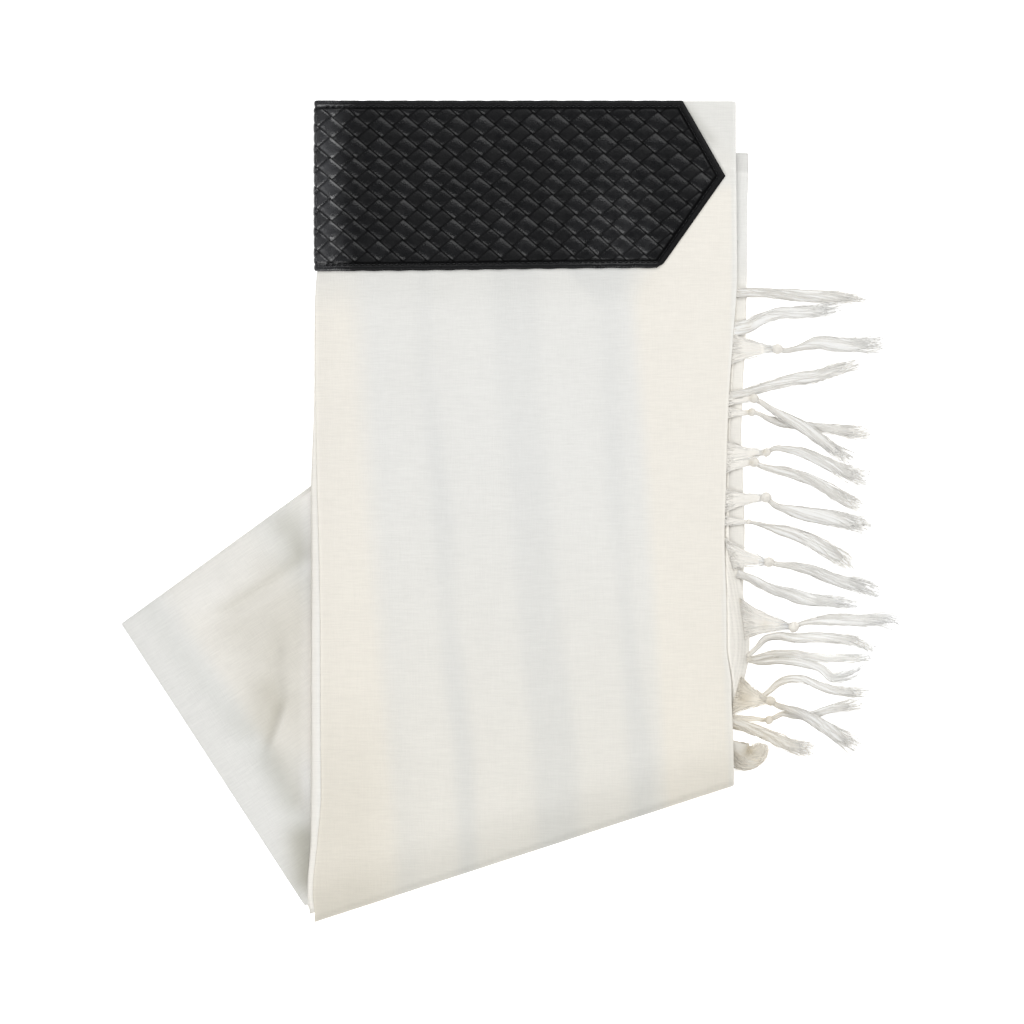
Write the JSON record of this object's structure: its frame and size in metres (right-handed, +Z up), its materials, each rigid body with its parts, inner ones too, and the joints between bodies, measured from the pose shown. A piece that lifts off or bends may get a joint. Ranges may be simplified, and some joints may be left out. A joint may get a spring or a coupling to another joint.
{
  "type": "folded tallit prayer shawl",
  "caption": "Folded prayer shawl of fine off-white cloth with soft grey stripes, a plaited leather neck band and knotted fringe, laid flat.",
  "frame": {"origin": "on the surface that the folded shawl lies on, under the middle of its outline", "axes": "+Z up, +Y along the folded strip towards the neck band, +X across it towards the fringe"},
  "size_m": [0.4517, 0.4757, 0.015],
  "materials": {
    "cloth": "fine plain weave with crosswise slubs, off-white and cream, with soft-edged pale grey tone-on-tone stripes along its length",
    "fringe": "loosely twisted off-white threads with a slight sheen, knotted, frayed at their ends",
    "leather": "black leather, diagonally plaited strips with a soft gloss, turned and stitched edges"
  },
  "bodies": {
    "root": {"front_panel": "cloth", "flap_panel": "cloth", "hidden_layers": "cloth", "fringe_edge": "cloth", "neck_band": "leather", "tassel_01": "fringe", "tassel_02": "fringe", "tassel_03": "fringe", "tassel_04": "fringe", "tassel_05": "fringe", "tassel_06": "fringe", "tassel_07": "fringe", "tassel_08": "fringe", "tassel_09": "fringe", "tassel_10": "fringe", "tassel_11": "fringe", "tassel_12": "fringe", "tassel_13": "fringe", "tassel_14": "fringe", "tassel_15": "fringe", "tassel_16": "fringe", "tassel_17": "fringe", "tassel_18": "fringe", "tassel_19": "fringe", "tassel_20": "fringe", "tassel_21": "fringe"}
  },
  "joints": []
}
